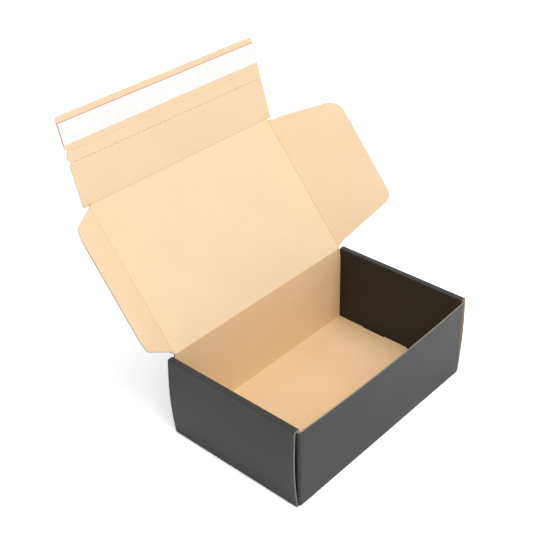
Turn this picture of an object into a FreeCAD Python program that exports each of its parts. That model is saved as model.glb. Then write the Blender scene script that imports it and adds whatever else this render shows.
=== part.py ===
import FreeCAD, Part
import math
import os

# Corrugated mailer box, standing open as in the photograph.
# One sheet of fine-flute board is folded into a roll-end tray, a lid with two side ears,
# and a seal flap that carries a tear strip and a band of adhesive under a release liner.
# X runs along the box, the front wall faces -Y, the lid turns on the back wall, +Z is up.
# The origin is the middle of the face that the box stands on. All sizes are in millimetres.

# Outside of the tray
length = 300.0
width = 183.0
height = 105.0

# Board
board = 1.6
ply_gap = 0.4
fold_radius = 1.6
rail_radius = 1.6
upright_radius = 3.5

# The end walls stand a little proud between the base and the rail, and lean out at the rail
end_bulge = 3.4
bulge_share = 0.38
rail_lean = 2.4

# Front wall and the four dust flaps between the plies of the end walls
front_wall_drop = 4.0
front_wall_dip = 2.2
front_wall_bow = 1.8
dust_flap_length = 70.0
dust_flap_taper = 6.0

# Lock tabs at the feet of the inner end panels, and their slots in the base
tab_centre = 34.3
tab_width = 33.5
tab_corner = 1.2
tab_recess = 0.2
slot_clearance = 0.35
slot_front_clearance = 1.0
foot_gap = 0.25

# Lid
lid_angle = 129.5
lid_seat = 0.3
lid_overhang = 2.2
crease_clearance = 0.15
crease_web = 0.7
crease_bead_radius = 0.5
lid_corner_radius = 1.5

# Ears on the two sides of the lid
ear_angle = 44.0
ear_depth = 88.5
ear_wall_clearance = 0.4
ear_front_clearance = 0.8
ear_tip_out = 8.0
ear_tip_up = 3.8
ear_shoulder = 14.0
ear_front_slant = 18.0
ear_back_relief = 2.0
ear_heel_out = 10.0
ear_heel_up = 3.8
ear_back_slant = 17.6
ear_front_radius = 22.0
ear_back_radius = 15.0

# Seal flap
flap_angle = 23.0
flap_depth = 101.2
flap_side_clearance = 0.5
flap_corner_radius = 5.0
flap_foot_drop = 1.0
flap_foot_radius = 1.0

# Tear strip across the seal flap
strip_start = 50.0
strip_width = 13.0
slit_length = 5.0
slit_pitch = 8.0
slit_width = 0.5
slit_end_margin = 5.0
thumb_notch_depth = 3.5
thumb_notch_width = 3.0
thumb_reach = 2.6

# Adhesive band and its release liner
tape_start = 69.8
tape_width = 24.6
tape_thickness = 0.12
liner_inset = 0.6
liner_thickness = 0.12

# Sizes that follow from those above
half_length = length / 2
half_width = width / 2
inside_half = half_width - board - ply_gap
end_back = half_width - ply_gap
rail_width = 3 * board + 2 * ply_gap
wall_end = half_length - board - ply_gap
inner_face = half_length - rail_width
front_top = height - front_wall_drop
wall_reach = wall_end - upright_radius
bulge_corner = end_bulge / (1 - bulge_share)
bulge_radius = bulge_share * height * (height / 2) / bulge_corner
under_rail = height - board - ply_gap
hinge_y = half_width - board / 2
hinge_z = height + lid_seat + board / 2
front_foot = fold_radius + board
crease_cut = board / 2 + crease_clearance
back_top = hinge_z - crease_cut
ear_crease = inner_face - ear_wall_clearance - board
lid_depth = width + lid_overhang
flap_half = half_length - flap_side_clearance
strip_end = strip_start + strip_width

# Points closer than this are one point
coincident = 1e-6


def vector(x, y, z):
    return FreeCAD.Vector(x, y, z)


X_AXIS = vector(1, 0, 0)
Y_AXIS = vector(0, 1, 0)
Z_AXIS = vector(0, 0, 1)
ORIGIN = vector(0, 0, 0)


def block(x_range, y_range, z_range):
    """Box between the low and high limits on each axis."""
    corner = vector(x_range[0], y_range[0], z_range[0])
    return Part.makeBox(
        x_range[1] - x_range[0],
        y_range[1] - y_range[0],
        z_range[1] - z_range[0],
        corner,
    )


def corner_tangents(before, corner, after, radius):
    """Points where an arc of the radius leaves the two edges that meet at a corner."""
    to_before = (before - corner).normalize()
    to_after = (after - corner).normalize()
    half_angle = to_before.getAngle(to_after) / 2
    reach = radius / math.tan(half_angle)
    bisector = (to_before + to_after).normalize()
    centre = corner + bisector * (radius / math.sin(half_angle))
    middle = centre - bisector * radius
    return corner + to_before * reach, middle, corner + to_after * reach


def rounded_face(corners):
    """Flat face in XY from (x, y, radius) corners, where a radius of 0 is a sharp corner."""
    points = [vector(x, y, 0) for x, y, radius in corners]
    count = len(points)
    arcs = {}
    starts = list(points)
    ends = list(points)
    for index, corner in enumerate(corners):
        radius = corner[2]
        if radius > 0:
            following = points[(index + 1) % count]
            first, middle, last = corner_tangents(points[index - 1], points[index], following, radius)
            arcs[index] = Part.Arc(first, middle, last).toShape()
            starts[index] = first
            ends[index] = last
    path = []
    for index in range(count):
        if index in arcs:
            path.append(arcs[index])
        next_start = starts[(index + 1) % count]
        if ends[index].distanceToPoint(next_start) > coincident:
            path.append(Part.LineSegment(ends[index], next_start).toShape())
    return Part.Face(Part.Wire(path))


def plate(corners, thickness):
    """Flat piece of the outline, centred on the XY plane."""
    face = rounded_face(corners)
    face.translate(vector(0, 0, -thickness / 2))
    return face.extrude(vector(0, 0, thickness))


def mirrored(shape, normal):
    """Copy on the other side of the plane through the origin."""
    return shape.mirror(ORIGIN, normal)


def long_channel():
    """Base with the back wall and the foot of the front wall folded up from its long edges."""
    section = rounded_face(
        [
            (-half_width, front_foot, 0),
            (-half_width, 0, fold_radius),
            (half_width, 0, fold_radius),
            (half_width, back_top, 0),
            (half_width - board, back_top, 0),
            (half_width - board, board, 0),
            (-half_width + board, board, 0),
            (-half_width + board, front_foot, 0),
        ]
    )
    section.rotate(ORIGIN, X_AXIS, 90)
    section.rotate(ORIGIN, Z_AXIS, 90)
    section.translate(vector(-wall_reach, 0, 0))
    return section.extrude(vector(2 * wall_reach, 0, 0))


def bowed_outline(bow, z):
    """Outline of the front wall at one height, with its middle moved out by the bow."""
    outer_left = vector(-wall_reach, -half_width, z)
    outer_right = vector(wall_reach, -half_width, z)
    through = vector(0, board, 0)
    middle = vector(0, -half_width - bow, z)
    if bow > 0:
        outer = Part.Arc(outer_left, middle, outer_right).toShape()
        inner = Part.Arc(outer_right + through, middle + through, outer_left + through).toShape()
    else:
        outer = Part.LineSegment(outer_left, outer_right).toShape()
        inner = Part.LineSegment(outer_right + through, outer_left + through).toShape()
    right = Part.LineSegment(outer_right, outer_right + through).toShape()
    left = Part.LineSegment(outer_left + through, outer_left).toShape()
    return Part.Wire([outer, right, inner, left])


def front_wall():
    """Front wall, straight at its foot and bowed out at its top, with a dip along its upper edge."""
    sheet = Part.makeLoft([bowed_outline(0, front_foot), bowed_outline(front_wall_bow, front_top)], True, True)
    front = -half_width - 2 * front_wall_bow - board
    left = vector(-wall_reach, front, front_top)
    right = vector(wall_reach, front, front_top)
    dip = Part.Arc(left, vector(0, front, front_top - front_wall_dip), right).toShape()
    above = Part.Face(Part.Wire([dip, Part.LineSegment(right, left).toShape()]))
    return sheet.cut(above.extrude(vector(0, 2 * half_width, 0)))


def rolled_end():
    """End wall at +X: outer panel, rail along the top and the inner panel rolled down inside.
    Its front edge stops behind the front wall's board, so the corner shows a narrow gap."""
    base_join = min(inner_face, wall_reach) - board
    section = rounded_face(
        [
            (base_join, 0, 0),
            (half_length, 0, fold_radius),
            (half_length + bulge_corner, height / 2, bulge_radius),
            (half_length + rail_lean, height, rail_radius),
            (inner_face, height, rail_radius),
            (inner_face, board + foot_gap, 0),
            (inner_face + board, board + foot_gap, 0),
            (inner_face + board, height - board, 0),
            (half_length + rail_lean - board, height - board, 0),
            (half_length + bulge_corner - board, height / 2, bulge_radius - board),
            (half_length - board, board, 0),
            (base_join, board, 0),
        ]
    )
    section.rotate(ORIGIN, X_AXIS, 90)
    section.translate(vector(0, end_back, 0))
    wall = section.extrude(vector(0, -end_back - inside_half, 0))
    behind = block(
        (inner_face - board, half_length - board),
        (inside_half, half_width + board),
        (board, height - board),
    )
    return wall.cut(behind)


def lock_tab(centre_y):
    """Tab at the foot of the inner end panel, reaching down through the base."""
    top = board + 2 * foot_gap
    corners = [
        (centre_y - tab_width / 2, top, 0),
        (centre_y - tab_width / 2, tab_recess, tab_corner),
        (centre_y + tab_width / 2, tab_recess, tab_corner),
        (centre_y + tab_width / 2, top, 0),
    ]
    face = rounded_face(corners)
    face.rotate(ORIGIN, X_AXIS, 90)
    face.rotate(ORIGIN, Z_AXIS, 90)
    face.translate(vector(inner_face, 0, 0))
    return face.extrude(vector(board, 0, 0))


def tab_slot(centre_y):
    """Slot that the base has around a lock tab."""
    half_slot = tab_width / 2 + slot_clearance
    return block(
        (inner_face - slot_front_clearance, inner_face + board + slot_clearance),
        (centre_y - half_slot, centre_y + half_slot),
        (-board, board + foot_gap / 2),
    )


def dust_corner(top):
    """Corner at +X, -Y: end of the long wall, folded round to the dust flap behind the end panel."""
    far = -half_width + dust_flap_length
    corners = [
        (wall_reach, -half_width, 0),
        (wall_end, -half_width, upright_radius),
        (wall_end, far, 0),
        (wall_end - board, far, 0),
        (wall_end - board, -half_width + board, upright_radius - board),
        (wall_reach, -half_width + board, 0),
    ]
    bottom = board + ply_gap
    corner = rounded_face(corners)
    corner.translate(vector(0, 0, bottom))
    corner = corner.extrude(vector(0, 0, top - bottom))
    flap_start = -half_width + upright_radius
    taper = Part.Face(
        Part.makePolygon(
            [
                vector(wall_end - 2 * board, flap_start, top),
                vector(wall_end - 2 * board, far, top - dust_flap_taper),
                vector(wall_end - 2 * board, far + board, top + board),
                vector(wall_end - 2 * board, flap_start, top + board),
                vector(wall_end - 2 * board, flap_start, top),
            ]
        )
    )
    return corner.cut(taper.extrude(vector(3 * board, 0, 0)))


def lid_crease():
    """Crushed score at the top of the back wall, which the lid turns on."""
    web = block(
        (-ear_crease, ear_crease),
        (hinge_y - crease_web / 2, hinge_y + crease_web / 2),
        (back_top - board, hinge_z),
    )
    bead = Part.makeCylinder(
        crease_bead_radius, 2 * ear_crease, vector(-ear_crease, hinge_y, hinge_z), X_AXIS
    )
    return web.fuse(bead)


def tray():
    """Base, four walls with rolled-over ends, dust flaps and lock tabs, as one folded sheet."""
    body = long_channel().fuse(front_wall())
    for side in (-1, 1):
        beyond = sorted((side * ear_crease, side * (wall_end + board)))
        body = body.cut(block(beyond, (0, half_width + board), (under_rail, back_top + board)))
    end = rolled_end()
    slots = []
    tabs = []
    for side in (-1, 1):
        slots.append(tab_slot(side * tab_centre))
        tabs.append(lock_tab(side * tab_centre))
    corner_front = dust_corner(front_top)
    corner_back = mirrored(dust_corner(under_rail), Y_AXIS)
    right = end.multiFuse([corner_front, corner_back])
    left = mirrored(right, X_AXIS)
    body = body.multiFuse([right, left])
    for slot, tab in zip(slots, tabs):
        body = body.cut(slot.multiFuse([mirrored(slot, X_AXIS)]))
        body = body.fuse(tab.fuse(mirrored(tab, X_AXIS)))
    return body.fuse(lid_crease()).removeSplitter()


def on_lid(shape):
    """Set a shape drawn flat (X across, Y from the hinge to the front, inside up) on the open lid."""
    placed = shape.copy()
    placed.rotate(ORIGIN, X_AXIS, 180 - lid_angle)
    placed.translate(vector(0, hinge_y, hinge_z))
    return placed


def flap_on_lid(shape):
    """Turn a shape, drawn with Y from the flap's crease, about that crease and set it on the lid."""
    turned = shape.copy()
    turned.rotate(ORIGIN, X_AXIS, flap_angle)
    turned.translate(vector(0, lid_depth, 0))
    return on_lid(turned)


def lid():
    """Top panel between the four creases, with the score that the seal flap turns on."""
    half = ear_crease - crease_clearance
    front = lid_depth - crease_cut
    panel = plate(
        [
            (-half, crease_cut, 0),
            (half, crease_cut, 0),
            (half, front, lid_corner_radius),
            (-half, front, lid_corner_radius),
        ],
        board,
    )
    score_half = half - lid_corner_radius
    web = block((-score_half, score_half), (front - board, lid_depth), (-crease_web / 2, crease_web / 2))
    bead = Part.makeCylinder(
        crease_bead_radius, 2 * score_half, vector(-score_half, lid_depth, 0), X_AXIS
    )
    return on_lid(panel.multiFuse([web, bead]).removeSplitter())


def ear(side):
    """Side ear, folded towards the inside of the lid by the ear angle."""
    front = hinge_y + half_width - board - ear_front_clearance
    heel = ear_back_relief + ear_heel_up
    outline = [
        (crease_clearance, ear_back_relief, 0),
        (ear_heel_out, heel, 0),
        (ear_depth, heel + ear_back_slant, ear_back_radius),
        (ear_depth, front - ear_front_slant, ear_front_radius),
        (ear_shoulder, front, 0),
        (ear_tip_out, front, 0),
        (crease_clearance, front + ear_tip_up, 0),
    ]
    flat = plate(outline, board)
    flat.translate(vector(0, 0, -board / 2))
    flat.rotate(ORIGIN, Y_AXIS, -ear_angle)
    flat.translate(vector(ear_crease, 0, board / 2))
    if side < 0:
        flat = mirrored(flat, X_AXIS)
    return on_lid(flat)


def thumb_notches():
    """Two cuts in the left edge of the flap that leave a rounded thumb tab on the tear strip."""
    edge = -flap_half
    inner = edge + thumb_notch_depth
    outside = edge - board
    middle = (strip_start + strip_end) / 2
    cuts = []
    for side in (-1, 1):
        at_strip = middle + side * strip_width / 2
        cuts.append(
            Part.Face(
                Part.makePolygon(
                    [
                        vector(outside, at_strip + side * thumb_notch_width, -board),
                        vector(edge, at_strip + side * thumb_notch_width, -board),
                        vector(inner, at_strip, -board),
                        vector(edge + thumb_notch_depth - thumb_reach, at_strip - side * thumb_notch_width, -board),
                        vector(outside, at_strip - side * thumb_notch_width, -board),
                        vector(outside, at_strip + side * thumb_notch_width, -board),
                    ]
                )
            ).extrude(vector(0, 0, 2 * board))
        )
    return cuts


def perforation(start):
    """Row of slits across the flap, at the given distance from its crease."""
    run = 2 * (flap_half - slit_end_margin)
    count = int((run - slit_length) / slit_pitch) + 1
    first = -((count - 1) * slit_pitch + slit_length) / 2
    slits = []
    for index in range(count):
        x = first + index * slit_pitch
        slits.append(
            block(
                (x, x + slit_length),
                (start - slit_width / 2, start + slit_width / 2),
                (-board, board),
            )
        )
    return slits


def seal_flap():
    """Flap on the front edge of the lid, with the tear strip between its two rows of slits."""
    lid_half = ear_crease - crease_clearance
    foot = crease_cut
    panel = plate(
        [
            (-lid_half, foot, 0),
            (lid_half, foot, 0),
            (lid_half + crease_cut, -flap_foot_drop, 0),
            (flap_half, -flap_foot_drop, flap_foot_radius),
            (flap_half, flap_depth, flap_corner_radius),
            (-flap_half, flap_depth, flap_corner_radius),
            (-flap_half, -flap_foot_drop, flap_foot_radius),
            (-lid_half - crease_cut, -flap_foot_drop, 0),
        ],
        board,
    )
    cuts = perforation(strip_start) + perforation(strip_end) + thumb_notches()
    return flap_on_lid(panel.cut(cuts))


def band(inset, bottom, thickness):
    """Strip along the flap's inner face, drawn in by the inset at both ends and on its outer side."""
    half = flap_half - inset
    return flap_on_lid(
        block(
            (-half, half),
            (tape_start, tape_start + tape_width - inset),
            (bottom, bottom + thickness),
        )
    )


def adhesive_tape():
    """Double-sided adhesive band on the inner face of the flap."""
    return band(0, board / 2, tape_thickness)


def release_liner():
    """Paper liner over the adhesive, which leaves a thin line of the band showing."""
    return band(liner_inset, board / 2 + tape_thickness, liner_thickness)


def write_step(name, shape):
    """Write one sub-part and print its size, so that a change is easy to follow."""
    bounds = shape.BoundBox
    print(
        name,
        "solids", len(shape.Solids),
        "volume", round(shape.Volume, 1),
        "x", round(bounds.XMin, 2), round(bounds.XMax, 2),
        "y", round(bounds.YMin, 2), round(bounds.YMax, 2),
        "z", round(bounds.ZMin, 2), round(bounds.ZMax, 2),
        "valid", shape.isValid(),
    )
    shape.exportStep("parts/" + name + ".step")


os.makedirs("parts", exist_ok=True)
write_step("tray", tray())
write_step("lid", lid())
write_step("left_ear", ear(-1))
write_step("right_ear", ear(1))
write_step("seal_flap", seal_flap())
write_step("adhesive_tape", adhesive_tape())
write_step("release_liner", release_liner())
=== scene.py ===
# %% [markdown]
# # A corrugated mailer box
# The box is one sheet of corrugated board, printed black outside and plain kraft inside, folded into a
# tray with a lid. The CAD frame gives the exact places of its panels, but there they are solid. This
# lesson covers them with real board: two flat liners with a wavy sheet between them, all made by one
# Geometry Nodes tree.

import math

import bpy
import numpy as np
from mathutils import Matrix, Vector


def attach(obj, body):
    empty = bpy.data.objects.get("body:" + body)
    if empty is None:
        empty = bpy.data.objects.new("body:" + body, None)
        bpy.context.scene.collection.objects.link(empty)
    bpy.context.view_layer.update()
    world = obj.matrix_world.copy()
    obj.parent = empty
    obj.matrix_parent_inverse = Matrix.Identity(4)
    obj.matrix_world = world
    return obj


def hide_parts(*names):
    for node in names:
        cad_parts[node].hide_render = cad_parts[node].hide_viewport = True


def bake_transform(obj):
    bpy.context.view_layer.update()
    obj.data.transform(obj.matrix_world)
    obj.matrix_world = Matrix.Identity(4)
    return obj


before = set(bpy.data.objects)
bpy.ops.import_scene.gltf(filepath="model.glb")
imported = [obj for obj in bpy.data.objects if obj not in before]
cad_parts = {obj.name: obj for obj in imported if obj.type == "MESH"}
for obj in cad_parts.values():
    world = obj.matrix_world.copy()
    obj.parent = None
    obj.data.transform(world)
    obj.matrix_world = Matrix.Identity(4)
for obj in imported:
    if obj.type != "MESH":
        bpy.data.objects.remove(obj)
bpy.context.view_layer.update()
print("CAD nodes:", sorted(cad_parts))

# %% [markdown]
# ## Sizes
# Lengths are in metres. They are the sizes of the folded box, so each panel lands where its CAD node is.
# Only the sizes that several pieces share stand here, and the others are named where they are first
# needed.

# %% Sizes that all panels share
mm = 0.001
half_length = 150 * mm
half_width = 91.5 * mm
height = 105 * mm
board = 1.6 * mm
flute_pitch = 3.3 * mm
points_per_wave = 12
fold_radius = 1.7 * mm
# The ears' creases are this far from the middle of the lid.
ear_crease = 142.4 * mm
# Edges that turn by more than this, in radians, are shaded as sharp ones.
sharp_angle = 0.6
print("the tray in mm:", [round(length / mm) for length in (2 * half_length, 2 * half_width, height)])

# %% [markdown]
# ## One node tree for corrugated board
# Corrugated board has a cut edge that shows its waves, and a texture can't give that edge depth.
# Modelling each wave by hand would take days, but waves follow a rule, so a tree makes them. It starts
# from a path of points. Every point knows three things: where it is, which way is outside, and how far
# the board is swept from it. A grid is laid over the path, and each layer is that grid pushed inwards by
# its own distance. The wavy layer adds a sine wave to the distance. The tree makes no instances, so it
# has none to realize.


# %% A short way to add nodes
def add_node(tree, kind, inputs=None, **settings):
    """Add a node, set its properties, then fill its inputs with links or plain values."""
    node = tree.nodes.new(kind)
    for name, value in settings.items():
        setattr(node, name, value)
    for name, value in (inputs or {}).items():
        if isinstance(value, bpy.types.NodeSocket):
            tree.links.new(value, node.inputs[name])
        else:
            node.inputs[name].default_value = value
    return node


def calculate(tree, operation, *values):
    """A Math node for numbers."""
    return add_node(tree, "ShaderNodeMath", dict(enumerate(values)), operation=operation).outputs[0]


def combine(tree, operation, *vectors):
    """A Vector Math node that gives a vector."""
    node = add_node(tree, "ShaderNodeVectorMath", dict(enumerate(vectors)), operation=operation)
    return node.outputs["Vector"]


def stretch(tree, vector, factor):
    """A vector times a number."""
    node = add_node(tree, "ShaderNodeVectorMath", {0: vector, "Scale": factor}, operation="SCALE")
    return node.outputs["Vector"]


def choose(tree, kind, switch, if_true, if_false=None):
    """A Switch node. Without a value for false it then gives nothing."""
    inputs = {"Switch": switch, "True": if_true}
    if if_false is not None:
        inputs["False"] = if_false
    return add_node(tree, "GeometryNodeSwitch", inputs, input_type=kind).outputs[0]


def set_material(tree, geometry, material, selection=None):
    """A Set Material node for all faces, or for the selected ones."""
    inputs = {"Geometry": geometry, "Material": material}
    if selection is not None:
        inputs["Selection"] = selection
    return add_node(tree, "GeometryNodeSetMaterial", inputs).outputs[0]


def new_tree(name, inputs):
    """A modifier tree with named inputs, each given as (name, socket type, default)."""
    tree = bpy.data.node_groups.new(name, "GeometryNodeTree")
    tree.is_modifier = True
    for label, kind, default in inputs:
        socket = tree.interface.new_socket(name=label, in_out="INPUT", socket_type=kind)
        if default is not None:
            socket.default_value = default
    tree.interface.new_socket(name="Geometry", in_out="OUTPUT", socket_type="NodeSocketGeometry")
    return tree


# %% The board tree and its inputs
board_tree = new_tree(
    "Corrugated board",
    [
        ("Geometry", "NodeSocketGeometry", None),
        ("Board", "NodeSocketFloat", board),
        ("Liner", "NodeSocketFloat", 0.25 * mm),
        ("Fluting", "NodeSocketFloat", 0.18 * mm),
        ("Flute pitch", "NodeSocketFloat", flute_pitch),
        ("Liner columns", "NodeSocketInt", 12),
        ("Fluting columns", "NodeSocketInt", 12),
        ("Waves cross the path", "NodeSocketBool", True),
        ("Show liners", "NodeSocketBool", True),
        ("Show fluting", "NodeSocketBool", True),
        ("Outside", "NodeSocketMaterial", None),
        ("Inside", "NodeSocketMaterial", None),
        ("Core", "NodeSocketMaterial", None),
    ],
)
weld_distance = 1e-6


def stored(tree, kind, name):
    """A value that the mesh carries under a name."""
    node = add_node(tree, "GeometryNodeInputNamedAttribute", {"Name": name}, data_type=kind)
    return node.outputs["Attribute"]


def store(tree, geometry, name, value, kind, domain):
    """The same geometry, with a named value written on it."""
    inputs = {"Geometry": geometry, "Name": name, "Value": value}
    return add_node(tree, "GeometryNodeStoreNamedAttribute", inputs, data_type=kind, domain=domain).outputs[0]


def board_layer(tree, group, size, columns, base, thickness, wave, base_material, top_material):
    """One closed layer: the grid at the base distance, thickened outwards."""
    grid_inputs = {"Size X": 1.0, "Size Y": 1.0, "Vertices X": size, "Vertices Y": columns}
    grid = add_node(tree, "GeometryNodeMeshGrid", grid_inputs)
    place = add_node(tree, "GeometryNodeInputPosition").outputs[0]
    axes = add_node(tree, "ShaderNodeSeparateXYZ", {0: place})
    share = calculate(tree, "ADD", axes.outputs["Y"], 0.5)
    last = calculate(tree, "SUBTRACT", size, 1.0)
    row = calculate(tree, "MULTIPLY", calculate(tree, "ADD", axes.outputs["X"], 0.5), last)
    row = calculate(tree, "ROUND", row)

    def from_path(kind, field):
        inputs = {"Geometry": group.outputs["Geometry"], "Value": field, "Index": row}
        return add_node(tree, "GeometryNodeSampleIndex", inputs, data_type=kind).outputs[0]

    start = from_path("FLOAT_VECTOR", place)
    outward = from_path("FLOAT_VECTOR", stored(tree, "FLOAT_VECTOR", "outward"))
    sweep = from_path("FLOAT_VECTOR", stored(tree, "FLOAT_VECTOR", "sweep"))
    run = from_path("FLOAT", stored(tree, "FLOAT", "run"))

    surface = combine(tree, "ADD", start, stretch(tree, sweep, share))
    sweep_way = combine(tree, "NORMALIZE", sweep)
    along = add_node(tree, "ShaderNodeVectorMath", {0: surface, 1: sweep_way}, operation="DOT_PRODUCT")
    along = along.outputs["Value"]
    cross = group.outputs["Waves cross the path"]
    wave_at = choose(tree, "FLOAT", cross, run, along)
    down_the_wave = choose(tree, "FLOAT", cross, along, run)
    turns = calculate(tree, "DIVIDE", wave_at, group.outputs["Flute pitch"])
    sine = calculate(tree, "SINE", calculate(tree, "MULTIPLY", turns, 2 * math.pi))
    depth = calculate(tree, "ADD", base, calculate(tree, "MULTIPLY", sine, wave))

    marked = store(tree, grid.outputs["Mesh"], "way_out", outward, "FLOAT_VECTOR", "POINT")
    uv = add_node(tree, "ShaderNodeCombineXYZ", {"X": wave_at, "Y": down_the_wave}).outputs[0]
    mapped = store(tree, marked, "UVMap", uv, "FLOAT2", "CORNER")
    pushed = combine(tree, "ADD", surface, stretch(tree, outward, depth))
    sheet = add_node(tree, "GeometryNodeSetPosition", {"Geometry": mapped, "Position": pushed}).outputs[0]
    raised_inputs = {"Mesh": sheet, "Offset Scale": 0.0, "Individual": False}
    raised = add_node(tree, "GeometryNodeExtrudeMesh", raised_inputs)
    top = raised.outputs["Top"]
    lift = stretch(tree, stored(tree, "FLOAT_VECTOR", "way_out"), thickness)
    lifted = {"Geometry": raised.outputs["Mesh"], "Selection": top, "Offset": lift}
    thick = add_node(tree, "GeometryNodeSetPosition", lifted)
    core = set_material(tree, thick.outputs[0], group.outputs["Core"])
    topped = set_material(tree, core, top_material, top)
    under = add_node(tree, "GeometryNodeFlipFaces", {"Mesh": sheet}).outputs[0]
    both = add_node(tree, "GeometryNodeJoinGeometry")
    for half in (topped, set_material(tree, under, base_material)):
        tree.links.new(half, both.inputs[0])
    weld = {"Geometry": both.outputs[0], "Distance": weld_distance}
    return add_node(tree, "GeometryNodeMergeByDistance", weld).outputs[0]


def fill_board_tree(tree):
    """Two liners and the fluting between them, joined and shaded."""
    group = add_node(tree, "NodeGroupInput")
    count = add_node(tree, "GeometryNodeAttributeDomainSize", {"Geometry": group.outputs["Geometry"]})
    size = count.outputs["Point Count"]
    thickness, liner, fluting = (group.outputs[name] for name in ("Board", "Liner", "Fluting"))
    outside, inside, core = (group.outputs[name] for name in ("Outside", "Inside", "Core"))
    liner_columns, fluting_columns = (group.outputs[name] for name in ("Liner columns", "Fluting columns"))
    outer_base = calculate(tree, "MULTIPLY", liner, -1.0)
    inner_base = calculate(tree, "MULTIPLY", thickness, -1.0)
    outer = board_layer(tree, group, size, liner_columns, outer_base, liner, 0.0, core, outside)
    inner = board_layer(tree, group, size, liner_columns, inner_base, liner, 0.0, inside, core)

    # The wave fills the room between the liners, but for a hair of air at either side.
    middle = calculate(tree, "MULTIPLY", calculate(tree, "ADD", thickness, fluting), -0.5)
    paper = calculate(tree, "ADD", calculate(tree, "MULTIPLY", liner, 2.0), fluting)
    wave = calculate(tree, "MULTIPLY", calculate(tree, "SUBTRACT", thickness, paper), 0.49)
    waves = board_layer(tree, group, size, fluting_columns, middle, fluting, wave, core, core)

    layers = add_node(tree, "GeometryNodeJoinGeometry")
    for layer, shown in ((outer, "Show liners"), (inner, "Show liners"), (waves, "Show fluting")):
        tree.links.new(choose(tree, "GEOMETRY", group.outputs[shown], layer), layers.inputs[0])
    smooth = add_node(
        tree, "GeometryNodeSetShadeSmooth", {"Geometry": layers.outputs[0], "Shade Smooth": True}
    ).outputs[0]
    corner = add_node(tree, "GeometryNodeInputMeshEdgeAngle").outputs["Unsigned Angle"]
    is_sharp = calculate(tree, "GREATER_THAN", corner, sharp_angle)
    sharp_inputs = {"Geometry": smooth, "Selection": is_sharp, "Shade Smooth": False}
    sharp = add_node(tree, "GeometryNodeSetShadeSmooth", sharp_inputs, domain="EDGE")
    out = add_node(tree, "NodeGroupOutput")
    tree.links.new(sharp.outputs[0], out.inputs[0])


fill_board_tree(board_tree)
print("the board tree has", len(board_tree.nodes), "nodes")

# %% [markdown]
# ## Materials
# Paper is never one flat colour. A photograph of paper would do, but it repeats and carries its own
# light, so the patterns here are worked out from noise. They follow the board's own UV map, which the
# tree writes in metres: across the waves, then along them. So the fibres run with the board on every
# panel.


# %% Material helpers
def new_material(name):
    """A material, its node tree and its Principled shader."""
    material = bpy.data.materials.new(name)
    material.use_nodes = True
    tree = material.node_tree
    return material, tree, tree.nodes["Principled BSDF"]


def noise(tree, vector, scale, detail=3.0, roughness=0.6):
    inputs = {"Vector": vector, "Scale": scale, "Detail": detail, "Roughness": roughness}
    return add_node(tree, "ShaderNodeTexNoise", inputs).outputs["Fac"]


def sheet_coordinates(tree, stretch_by=(1, 1, 1)):
    """The board's own coordinates in metres: across the waves, then along them."""
    uv = add_node(tree, "ShaderNodeUVMap", uv_map="UVMap").outputs[0]
    return combine(tree, "MULTIPLY", uv, stretch_by)


def grey(value):
    return (value, value, value)


def ramp(tree, factor, *stops):
    """A colour ramp from (position, colour) stops."""
    node = add_node(tree, "ShaderNodeValToRGB", {"Fac": factor})
    elements = node.color_ramp.elements
    while len(elements) < len(stops):
        elements.new(0.5)
    for element, (position, color) in zip(elements, stops):
        element.position = position
        element.color = (*color, 1)
    return node.outputs["Color"]


def mix_values(tree, first, share, second):
    """The first value times its share, plus the second one times the rest."""
    part = calculate(tree, "MULTIPLY", first, share)
    return calculate(tree, "ADD", part, calculate(tree, "MULTIPLY", second, 1 - share))


def mix_colors(tree, kind, amount, first, second):
    """A Mix node for colours. Its sockets 0, 6 and 7 are the amount and the two colours."""
    node = add_node(tree, "ShaderNodeMix", data_type="RGBA", blend_type=kind)
    for socket, value in ((node.inputs[0], amount), (node.inputs[6], first), (node.inputs[7], second)):
        if isinstance(value, bpy.types.NodeSocket):
            tree.links.new(value, socket)
        else:
            socket.default_value = value if isinstance(value, float) else (*value, 1)
    return node.outputs[2]


def bump(tree, relief, strength, distance, normal=None):
    """A Bump node, on top of another one where a normal is given."""
    inputs = {"Height": relief, "Strength": strength, "Distance": distance}
    if normal is not None:
        inputs["Normal"] = normal
    return add_node(tree, "ShaderNodeBump", inputs).outputs[0]


def flute_shadow(tree, vector):
    """A soft stripe over every wave, which shows faintly through the liner."""
    x = add_node(tree, "ShaderNodeSeparateXYZ", {0: vector}).outputs["X"]
    return calculate(tree, "SINE", calculate(tree, "MULTIPLY", x, 2 * math.pi / flute_pitch))
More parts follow.
